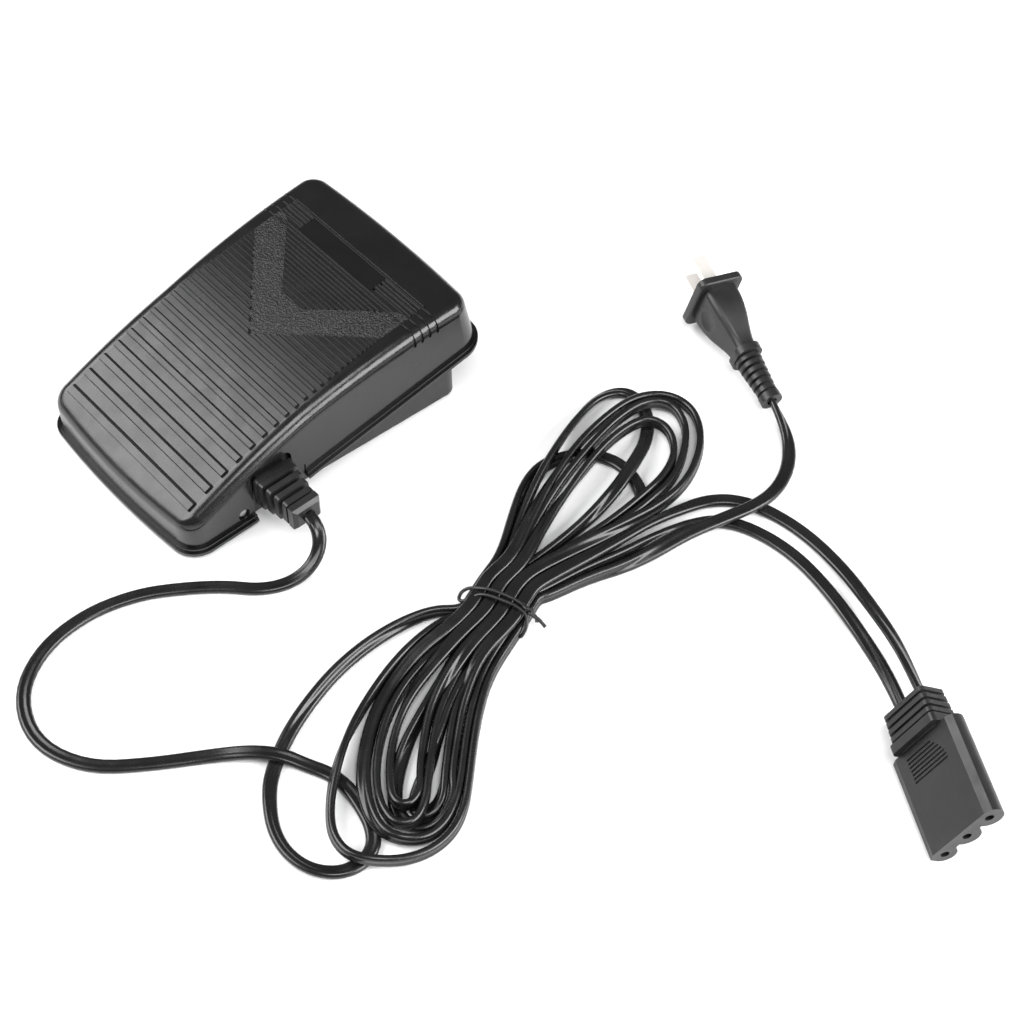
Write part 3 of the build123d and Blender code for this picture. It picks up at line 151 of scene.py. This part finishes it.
fold_6 = [
    (158.5, -22, EDGE, 90), (165.5, -38, EDGE, 90), (172.5, -54, EDGE - 0.4, 75),
    (180, -69, 2.2, 40), (188.5, -81, FLOOR, 0), (198, -90, FLOOR, 0), (207.5, -92, FLOOR, 0),
    (213.8, -86, FLOOR + 0.2, 25), (213.8, -77.5, EDGE - 0.4, 75), (209.5, -69.5, EDGE, 90),
    (203.5, -65.5, EDGE, 90), (192.7, -53.8, EDGE, 90), (181.3, -41, EDGE + 1.0, 80),
    (169.5, -24, TOP_Z, 0),
]
fold_7 = [
    (168, -23, EDGE, 90), (176.5, -43, EDGE, 90), (185.5, -56.5, EDGE, 90), (193, -67.5, 2.4, 50),
    (198.5, -78, FLOOR, 0), (204, -85.2, FLOOR, 0), (209.3, -83, FLOOR, 10),
    (208.6, -75.5, 2.4, 50), (201.5, -67.5, EDGE, 90), (190, -55.5, EDGE, 90),
    (179.5, -43, EDGE, 90), (170.5, -23, EDGE, 90),
]
crown_e = [
    (135, 19, EDGE, 90), (121.3, 38, EDGE, 85), (112, 54, 2.4, 50), (109, 68, FLOOR, 10),
    (114.5, 82, FLOOR, 0), (126, 90.5, FLOOR, 0), (138.5, 91.0, FLOOR, 0), (151, 86, FLOOR, 0),
    (159.5, 75, FLOOR, 0), (161.6, 58, FLOOR + 0.6, 25), (159.4, 40, EDGE, 85), (157, 20, EDGE, 90),
]
crown_a = [
    (138.5, 20, EDGE, 90), (125.8, 38, EDGE, 90), (115.3, 58, RIDGE, 85), (107.5, 76, RIDGE, 80),
    (100.5, 93, EDGE + 0.6, 70), (96.5, 109, 2.4, 50), (100, 120.5, FLOOR + 0.2, 20),
    (109, 122.8, FLOOR, 0), (119.5, 118.5, FLOOR, 0), (129, 108.5, FLOOR, 0), (136, 94, OVER, 0),
    (141.5, 79, OVER, 10), (144.5, 62, 2.6, 50), (146.3, 43, EDGE, 85), (146.5, 20, EDGE, 90),
]
crown_b = [
    (141, 20, TOP_Z, 0), (129.5, 40, 5.6, 30), (121, 59, RIDGE, 60), (114, 79, RIDGE, 80),
    (109.3, 99, EDGE + 1.6, 85), (109.5, 117.5, RIDGE, 85), (116, 130.5, RIDGE - 1.0, 85),
    (127, 136, EDGE, 85), (139.5, 131, EDGE, 85), (150, 120.5, EDGE, 85), (158, 105, EDGE, 85),
    (161, 87, EDGE + 1.6, 80), (159.5, 66, RIDGE + 0.8, 60), (155.5, 44, TOP_Z - 0.4, 20),
    (152, 22, TOP_Z, 0),
]
crown_c = [
    (142.5, 20, EDGE, 90), (132.2, 41, EDGE, 90), (124.6, 61, RIDGE, 90), (118, 84, RIDGE, 90),
    (113.6, 104, RIDGE - 0.8, 90), (114.5, 121, RIDGE, 90), (122, 130, EDGE + 1.2, 90),
    (133.5, 127.5, EDGE, 90), (144.5, 117, EDGE, 90), (153, 102, EDGE, 90), (157, 85, RIDGE, 90),
    (156.5, 62, EDGE + 0.8, 90), (154.3, 41, EDGE, 90), (153.5, 20, EDGE, 90),
]
crown_d = [
    (146.5, 21, TOP_Z, 0), (136, 42, 5.6, 30), (128.2, 65, RIDGE - 0.6, 75), (122, 87, RIDGE, 90),
    (120, 104, RIDGE - 0.4, 90), (122.5, 115, RIDGE, 90), (132, 119, EDGE + 1.4, 90),
    (143, 112.5, EDGE, 90), (149.5, 100, EDGE + 0.8, 90), (152.8, 85, RIDGE, 90),
    (152.8, 62, EDGE + 0.6, 90), (150.8, 41, EDGE, 90), (150.2, 20, EDGE, 90),
]
lead_1 = [
    (158.5, 21, TOP_Z, 0), (161.3, 40, TOP_Z, 10), (163.4, 58, OVER + 1.8, 35),
    (164.6, 76, OVER + 0.6, 40), (166, 92, FLOOR + 0.4, 20), (170, 105.5, FLOOR, 0),
    (179, 115.5, FLOOR, 0), (194.5, 121.5, FLOOR, 0), (214, 123.5, FLOOR, 0), (236, 120.5, 2.4, 0),
    (255, 114, 5.5, 5), (274, 105.5, 11.5, 20), (291.0, 94.8, 19.0, 45), (306.0, 86.6, 20.2, 57),
]
lead_2 = [
    (160.5, 20, EDGE, 90), (163.2, 40, EDGE, 90), (168, 58, EDGE - 0.4, 70), (170.4, 73, 2.0, 40),
    (174.4, 89, FLOOR, 15), (181, 102, FLOOR, 0), (196.5, 109.5, FLOOR, 0), (217, 112, FLOOR, 0),
    (240, 108.5, FLOOR, 0), (263, 101, 4.0, 15), (288.0, 89.6, 10.0, 45), (303.2, 81.3, 11.0, 57),
]
lead_3 = [
    (164, 20, EDGE, 90), (167.6, 38, EDGE, 85), (173.2, 54, EDGE - 0.2, 65), (176.4, 69, 3.6, 20),
    (179, 85, OVER + 0.4, 5), (184, 103, OVER + 0.6, 0), (187.5, 119, OVER - 0.4, 0),
    (185, 134, FLOOR, 0), (178, 147.5, FLOOR, 0), (164.5, 158.7, 3.2, 45), (149.5, 163.4, 6.3, 80),
]


def down(points):
    """The same points from the far end back."""
    return points[::-1]


# Pedal to connector: in at the first fold, through the tie nine times, out by the second lead.
cord_a_points = (
    pedal_end + fold_1
    + through(0, True) + crown_e
    + through(9, False) + down(fold_7)
    + through(8, True) + down(crown_c)
    + through(3, False) + fold_4
    + through(7, True) + down(crown_d)
    + through(4, False) + fold_5
    + through(6, True) + down(crown_b)
    + through(2, False) + fold_3
    + through(11, True) + lead_2
)
# Connector to plug: in by the first lead, through the tie four times, out by the third.
cord_b_points = (
    down(lead_1)
    + through(10, False) + down(fold_6)
    + through(5, True) + down(crown_a)
    + through(1, False) + fold_2
    + through(12, True) + lead_3
)


# The section: two round cores side by side with the web between them.
CORE_RADIUS = CORD_THICK / 2
CORE_OFFSET = CORD_WIDTH / 2 - CORE_RADIUS
WEB_SHARE = 0.64                # how deep the groove between the cores goes, 1 is to the bottom
PROFILE_STEPS = 11


def cord_profile():
    """Closed curve of the cord's section, in metres."""
    open_angle = math.acos(-CORE_OFFSET / CORE_RADIUS * WEB_SHARE)
    points = []
    for side in (1, -1):
        for step in range(PROFILE_STEPS):
            angle = open_angle * (2 * step / (PROFILE_STEPS - 1) - 1)
            x = CORE_OFFSET + CORE_RADIUS * math.cos(angle)
            y = CORE_RADIUS * math.sin(angle)
            points.append((side * x, side * y))
    data = bpy.data.curves.new("cord_section", "CURVE")
    data.dimensions = "2D"
    spline = data.splines.new("POLY")
    spline.points.add(len(points) - 1)
    for point, (x, y) in zip(spline.points, points):
        point.co = (x * MM, y * MM, 0, 1)
    spline.use_cyclic_u = True
    return bpy.data.objects.new("cord_section", data)


section = cord_profile()


def flat_cord(name, points):
    """A flat cord along its route, turned about its own line by each point's tilt."""
    data = bpy.data.curves.new(name, "CURVE")
    data.dimensions = "3D"
    data.twist_mode = "Z_UP"
    data.resolution_u = 5
    data.bevel_mode = "OBJECT"
    data.bevel_object = section
    data.use_fill_caps = True
    spline = data.splines.new("NURBS")
    spline.points.add(len(points) - 1)
    for point, (x, y, z, turned) in zip(spline.points, points):
        point.co = (x * MM, y * MM, z * MM, 1)
        point.tilt = math.radians(turned)
    spline.order_u = 3
    spline.use_endpoint_u = True
    cord = bpy.data.objects.new(name, data)
    bpy.context.collection.objects.link(cord)
    return cord


control_cord = flat_cord("control_cord", cord_a_points)
mains_cord = flat_cord("mains_cord", cord_b_points)


# ------------------------------------------------------------------ the twist tie
TIE_WIRE = 0.75                 # radius
tie_pieces = (
    [  # two passes over the bundle and the small loop that stands out at their left end
        (161.5, 3.0, 10.2), (155.7, 0.7, 10.4), (148.5, -2.6, 9.8), (145.6, -6.0, 7.4),
        (144.0, -9.6, 5.6), (141.5, -9.6, 5.2), (139.8, -6.4, 5.6), (140.9, -3.6, 6.8),
        (144.6, -2.2, 9.2), (149.0, 0.6, 10.4), (153.4, 2.8, 10.4), (160.9, 5.6, 10.4),
        (165.0, 6.2, 9.6),
    ],
    [  # down the right side and back under the bundle
        (161.5, 3.0, 10.2), (166.4, 4.6, 9.4), (169.6, 3.6, 7.6), (171.4, 0.6, 4.6),
        (171.2, -2.4, 1.8), (168.6, -1.4, 0.8),
    ],
    [  # the twisted knot and its tail
        (163.4, 6.4, 10.0), (166.0, 4.6, 10.6), (168.4, 7.4, 10.2), (170.4, 5.2, 9.4),
        (172.4, 7.0, 8.4), (176.5, 6.9, 6.8),
    ],
    [
        (165.0, 6.2, 9.6), (167.2, 6.8, 8.8), (169.0, 4.8, 9.8), (171.0, 7.2, 8.6),
        (172.8, 5.6, 7.4),
    ],
)
tie_data = bpy.data.curves.new("tie_wire", "CURVE")
tie_data.dimensions = "3D"
tie_data.resolution_u = 6
tie_data.bevel_depth = TIE_WIRE * MM
tie_data.bevel_resolution = 3
tie_data.use_fill_caps = True
for points in tie_pieces:
    spline = tie_data.splines.new("NURBS")
    spline.points.add(len(points) - 1)
    for point, (x, y, z) in zip(spline.points, points):
        point.co = (x * MM, y * MM, z * MM, 1)
    spline.order_u = 3
    spline.use_endpoint_u = True
tie_wire = bpy.data.objects.new("tie_wire", tie_data)
bpy.context.collection.objects.link(tie_wire)


# ------------------------------------------------------------------ materials
class Nodes:
    """Builds one material's nodes."""

    def __init__(self, name):
        self.material = bpy.data.materials.new(name)
        self.material.use_nodes = True
        self.tree = self.material.node_tree
        self.shader = self.tree.nodes["Principled BSDF"]
        self.place = self.tree.nodes.new("ShaderNodeTexCoord").outputs["Object"]

    def add(self, kind, inputs=(), **settings):
        node = self.tree.nodes.new(kind)
        for key, value in settings.items():
            setattr(node, key, value)
        for key, value in dict(inputs).items():
            if isinstance(value, bpy.types.NodeSocket):
                self.tree.links.new(value, node.inputs[key])
            else:
                node.inputs[key].default_value = value
        return node

    def noise(self, scale, detail=2.0, place=None):
        inputs = {"Vector": place or self.place, "Scale": scale, "Detail": detail}
        node = self.add("ShaderNodeTexNoise", inputs)
        return node.outputs["Fac"]

    def stretched(self, factors, scale, detail=2.0):
        mapping = self.add("ShaderNodeMapping", {"Vector": self.place, "Scale": factors})
        return self.noise(scale, detail, mapping.outputs["Vector"])

    def span(self, value, low, high, from_low=0.3, from_high=0.7):
        node = self.add("ShaderNodeMapRange", {
            "Value": value, "From Min": from_low, "From Max": from_high, "To Min": low, "To Max": high,
        })
        return node.outputs["Result"]

    def math(self, operation, first, second=0.0):
        return self.add("ShaderNodeMath", {0: first, 1: second}, operation=operation).outputs[0]

    def blend(self, factor, first, second):
        node = self.add("ShaderNodeMix", {"Factor": factor, "A": first, "B": second}, data_type="RGBA")
        node.inputs[6].default_value = first
        node.inputs[7].default_value = second
        return node.outputs[2]

    def bump(self, height, distance, strength=1.0, normal=None):
        inputs = {"Height": height, "Distance": distance, "Strength": strength}
        if normal is not None:
            inputs["Normal"] = normal
        return self.add("ShaderNodeBump", inputs).outputs["Normal"]

    def link(self, value, socket):
        self.tree.links.new(value, self.shader.inputs[socket])


def grey(value, warmth=0.0):
    """A near-neutral colour."""
    return (value * (1 + warmth), value, value * (1 - warmth), 1)


def moulded(
    name, dark, light, rough, grain=1400, depth=0.00002, patches=45, metallic=0.0, coat=0.0, streaks=0.0,
):
    """A moulded or machined surface: patchy colour and gloss over a fine grain."""
    build = Nodes(name)
    cloud = build.noise(patches, 4.0)
    fine = build.noise(grain, 3.0)
    build.link(build.blend(build.span(cloud, 0, 1), dark, light), "Base Color")
    smudge = build.noise(patches * 2.6, 5.0)
    gloss = build.span(smudge, rough[0], rough[1])
    build.link(build.math("ADD", gloss, build.span(fine, -0.03, 0.03)), "Roughness")
    height = fine
    if streaks:
        drawn = build.stretched((1, 0.04, 0.04), grain * 0.6)
        height = build.math("ADD", fine, build.math("MULTIPLY", drawn, streaks))
    build.link(build.bump(height, depth), "Normal")
    build.shader.inputs["Metallic"].default_value = metallic
    build.shader.inputs["Coat Weight"].default_value = coat
    return build


# The flush stippled band is a V: outer apex in front, its arms towards the rear corners.
BAND_OUTER = (-5.0, 38.0 / 45.0)
BAND_INNER = (13.0, 26.0 / 30.0)
BAND_FLOOR = 19.0
BAND_HALF = 44.0
BAND_REAR = 47.8
BAND_LOW_Z = 43.0               # the band lies on the roof, above this height
BAND_RELIEF = 0.00026           # depth of its stipple, in metres
BAND_GLOSS = 0.06               # added roughness
# colour of the stipple's crests: a painted highlight, standing in for light catching their raised tops
BAND_CREST_HIGHLIGHT = grey(0.04)
TREAD_HALF = 44.2
TREAD_REAR = 57.0
TREAD_GLOSS = 0.10
ROOF_NORMAL = 0.6               # a face that looks up by more than this is roof


def cover_material():
    build = moulded("cover_black", grey(0.0045), grey(0.007), (0.17, 0.26), grain=1900, depth=0.000016)
    split = build.add("ShaderNodeSeparateXYZ", {"Vector": build.place})
    across = build.math("MULTIPLY", build.math("ABSOLUTE", split.outputs["X"]), 1000.0)
    back = build.math("MULTIPLY", split.outputs["Y"], 1000.0)
    up = build.math("MULTIPLY", split.outputs["Z"], 1000.0)
    outer = build.math("ADD", build.math("MULTIPLY", across, BAND_OUTER[1]), BAND_OUTER[0])
    inner = build.math("ADD", build.math("MULTIPLY", across, BAND_INNER[1]), BAND_INNER[0])
    inner = build.math("MAXIMUM", inner, BAND_FLOOR)
    behind_outer = build.math("GREATER_THAN", back, outer)
    before_inner = build.math("LESS_THAN", back, inner)
    mask = build.math("MULTIPLY", behind_outer, before_inner)
    mask = build.math("MULTIPLY", mask, build.math("LESS_THAN", across, BAND_HALF))
    mask = build.math("MULTIPLY", mask, build.math("LESS_THAN", back, BAND_REAR))
    mask = build.math("MULTIPLY", mask, build.math("GREATER_THAN", up, BAND_LOW_Z))
    speck = build.noise(1150, 3.0)
    stipple = build.math("MULTIPLY", build.span(speck, 0, 1, 0.38, 0.62), mask)
    under = build.shader.inputs["Normal"].links[0].from_socket
    build.link(build.bump(stipple, BAND_RELIEF, 0.8, under), "Normal")
    gloss = build.shader.inputs["Roughness"].links[0].from_socket
    # the treads are a little more matt than the walls, and the band more so
    inside = build.math("LESS_THAN", across, TREAD_HALF)
    before_rear = build.math("LESS_THAN", back, TREAD_REAR)
    tread = build.math("MULTIPLY", inside, before_rear)
    normal = build.add("ShaderNodeNewGeometry").outputs["Normal"]
    facing = build.add("ShaderNodeSeparateXYZ", {"Vector": normal}).outputs["Z"]
    roof = build.math("GREATER_THAN", facing, ROOF_NORMAL)
    tread = build.math("MULTIPLY", tread, roof)
    gloss = build.math("ADD", gloss, build.math("MULTIPLY", tread, TREAD_GLOSS))
    build.link(build.math("ADD", gloss, build.math("MULTIPLY", mask, BAND_GLOSS)), "Roughness")
    colour = build.shader.inputs["Base Color"].links[0].from_socket
    # painted highlight: the highest specks of the stipple are made paler, as if light caught their
    # raised tops
    painted_crest = build.math("MULTIPLY", build.span(speck, 0, 1, 0.56, 0.66), mask)
    crest_highlight = build.add("ShaderNodeMix", {"Factor": painted_crest}, data_type="RGBA")
    build.tree.links.new(colour, crest_highlight.inputs[6])
    crest_highlight.inputs[7].default_value = BAND_CREST_HIGHLIGHT
    build.link(crest_highlight.outputs[2], "Base Color")
    return build.material


materials = {
    "cover_plastic": cover_material(),
    "base_plastic": moulded(
        "base_black", grey(0.006), grey(0.010), (0.3, 0.42),
        depth=0.00003,
    ).material,
    "label": moulded(
        "label_dark", grey(0.0035), grey(0.005), (0.55, 0.66),
        grain=2600, depth=0.00001,
    ).material,
    "cord_vinyl": moulded(
        "cord_vinyl", grey(0.0045), grey(0.008), (0.20, 0.32),
        grain=1700, depth=0.00001,
    ).material,
    "moulded_vinyl": moulded(
        "moulded_vinyl", grey(0.007), grey(0.013), (0.36, 0.5),
        grain=1500, depth=0.00003,
    ).material,
    "tie_plastic": moulded(
        "tie_plastic", grey(0.009), grey(0.016), (0.34, 0.46),
        grain=2200,
    ).material,
    "blade_nickel": moulded(
        "blade_nickel", grey(0.70, 0.05), grey(0.80, 0.04), (0.34, 0.46),
        metallic=0.45, streaks=1.5, depth=0.000006,
    ).material,
    "contact_brass": moulded(
        "contact_brass", (0.62, 0.42, 0.16, 1), (0.74, 0.53, 0.22, 1), (0.25, 0.4),
        metallic=1.0, depth=0.000006,
    ).material,
    "steel": moulded(
        "steel", grey(0.44), grey(0.56), (0.28, 0.42),
        metallic=1.0, streaks=1.0, depth=0.000008,
    ).material,
    "screw_steel": moulded(
        "screw_steel", grey(0.5, 0.04), grey(0.64, 0.05), (0.24, 0.36),
        metallic=1.0, depth=0.000008,
    ).material,
    "rubber": moulded(
        "rubber", grey(0.016), grey(0.028), (0.7, 0.85),
        grain=1100, depth=0.00006,
    ).material,
    "board_laminate": moulded(
        "board_laminate", (0.20, 0.13, 0.05, 1), (0.27, 0.18, 0.08, 1), (0.4, 0.52),
        grain=1500, streaks=1.0,
    ).material,
    "pot_plastic": moulded(
        "pot_plastic", (0.03, 0.05, 0.10, 1), (0.04, 0.07, 0.13, 1), (0.36, 0.5),
    ).material,
    "plunger_plastic": moulded(
        "plunger_plastic", grey(0.56, 0.03), grey(0.64, 0.02), (0.38, 0.5),
    ).material,
    "sink_aluminium": moulded(
        "sink_aluminium", grey(0.55), grey(0.66), (0.34, 0.48),
        metallic=1.0, streaks=2.0, depth=0.00001,
    ).material,
    "component_black": moulded(
        "component_black", grey(0.018), grey(0.026), (0.5, 0.64),
        grain=2400,
    ).material,
    "capacitor_case": moulded(
        "capacitor_case", (0.42, 0.13, 0.03, 1), (0.5, 0.17, 0.05, 1), (0.26, 0.38),
    ).material,
    "choke_copper": moulded(
        "choke_copper", (0.50, 0.20, 0.08, 1), (0.62, 0.28, 0.12, 1), (0.3, 0.42),
        metallic=0.8, streaks=2.0, depth=0.00008,
    ).material,
    "resistor_body": moulded(
        "resistor_body", (0.44, 0.32, 0.18, 1), (0.52, 0.4, 0.24, 1), (0.36, 0.5),
    ).material,
    "terminal_green": moulded(
        "terminal_green", (0.02, 0.16, 0.05, 1), (0.03, 0.21, 0.08, 1), (0.34, 0.48),
    ).material,
    "core_insulation": moulded(
        "core_insulation", (0.16, 0.06, 0.02, 1), (0.22, 0.09, 0.04, 1), (0.36, 0.48),
    ).material,
}
LABEL_SPECULAR = 0.12
label_shader = materials["label"].node_tree.nodes["Principled BSDF"]
label_shader.inputs["Specular IOR Level"].default_value = LABEL_SPECULAR
for row in frame["record"]["subparts"]:
    data = nodes[row["node"]].data
    data.materials.clear()
    data.materials.append(materials[row["material_slot"]])

for piece in (control_cord, mains_cord):
    piece.data.materials.append(materials["cord_vinyl"])
    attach(piece, "base")
tie_wire.data.materials.append(materials["tie_plastic"])
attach(tie_wire, "base")
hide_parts("twist_tie")
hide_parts("pedal_lead", "cord_hank", "return_lead")
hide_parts("connector_lead", "plug_lead")

# ------------------------------------------------------------------ floor, lights
FLOOR_HALF = 6.0
LIGHT_AIM = Vector((0.12, 0.0, 0.02))
WORLD_STRENGTH = 0.20
floor_mesh = bpy.data.meshes.new("floor")
floor_build = bmesh.new()
bmesh.ops.create_grid(floor_build, x_segments=2, y_segments=2, size=FLOOR_HALF)
floor_build.to_mesh(floor_mesh)
floor_build.free()
floor = bpy.data.objects.new("floor", floor_mesh)
bpy.context.collection.objects.link(floor)
floor_look = Nodes("floor_white")
floor_cloud = floor_look.span(floor_look.noise(3, 2.0), 0, 1)
floor_look.link(floor_look.blend(floor_cloud, grey(0.86), grey(0.88)), "Base Color")
floor_look.shader.inputs["Roughness"].default_value = 0.7
floor_mesh.materials.append(floor_look.material)


def area_light(name, direction, distance, size, power):
    data = bpy.data.lights.new(name, "AREA")
    data.shape = "RECTANGLE"
    data.size = size[0]
    data.size_y = size[1]
    data.energy = power
    light = bpy.data.objects.new(name, data)
    bpy.context.collection.objects.link(light)
    away = Vector(direction).normalized()
    turned = away.to_track_quat("Z", "Y").to_matrix().to_4x4()
    light.matrix_world = Matrix.Translation(LIGHT_AIM + away * distance) @ turned
    return light


area_light("key", (-0.50, -0.50, 0.66), 1.7, (1.7, 1.1), 42.0)
area_light("side", (0.80, 0.40, 0.46), 1.5, (1.5, 0.8), 42.0)
area_light("top", (0.42, -0.16, 1.0), 1.7, (0.7, 0.7), 14.0)
world = bpy.data.worlds.new("studio")
world.use_nodes = True
world.node_tree.nodes["Background"].inputs["Color"].default_value = (1, 1, 1, 1)
world.node_tree.nodes["Background"].inputs["Strength"].default_value = WORLD_STRENGTH
bpy.context.scene.world = world
bpy.context.scene.view_settings.view_transform = "Standard"
